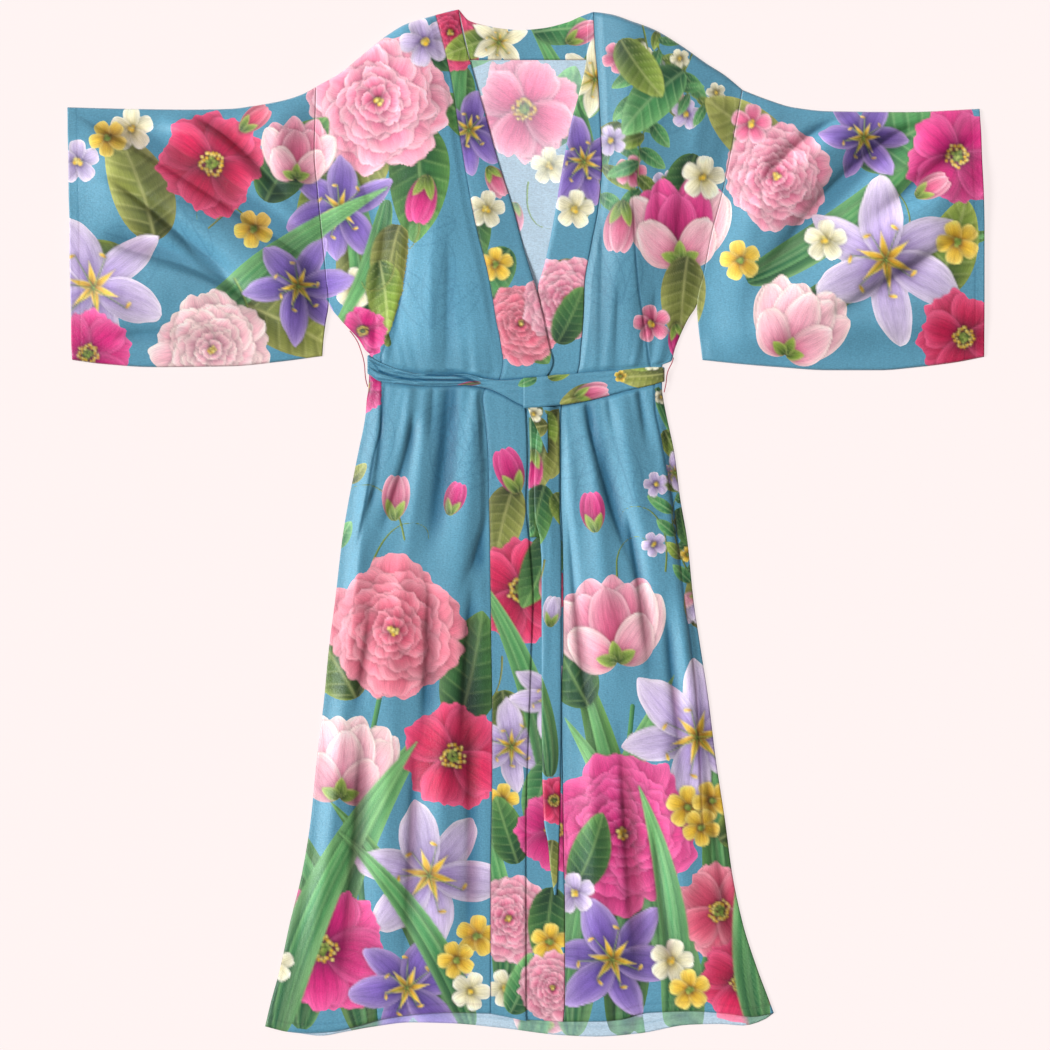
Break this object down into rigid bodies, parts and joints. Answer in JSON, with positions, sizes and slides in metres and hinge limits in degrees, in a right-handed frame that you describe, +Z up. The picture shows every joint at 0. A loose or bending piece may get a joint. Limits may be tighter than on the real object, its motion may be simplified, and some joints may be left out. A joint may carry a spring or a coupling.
{
  "type": "kimono robe",
  "caption": "Long kimono robe laid flat, front up, with square sleeves, a crossed neck band, folds at the waist and its own tied belt.",
  "frame": {"origin": "middle of the robe's outline, on the surface that it lies on", "axes": "+Y towards the neck, +X to the viewer's right, +Z up out of the front"},
  "size_m": [1.164, 1.304, 0.0155],
  "materials": {
    "printed_satin": "teal satin with a large floral print, soft sheen",
    "satin_wrong_side": "pale wrong side of the printed satin",
    "loop_thread": "twisted red thread"
  },
  "bodies": {
    "root": {"back": "satin_wrong_side", "front_left": "printed_satin", "front_right": "printed_satin", "band_left": "printed_satin", "band_right": "printed_satin", "neck_band": "printed_satin", "sleeve_left": "printed_satin", "sleeve_right": "printed_satin", "belt_wrap": "printed_satin", "belt_knot": "printed_satin", "belt_tail_short": "printed_satin", "belt_tail_long": "printed_satin", "loop_left": "loop_thread", "loop_right": "loop_thread"}
  },
  "joints": []
}
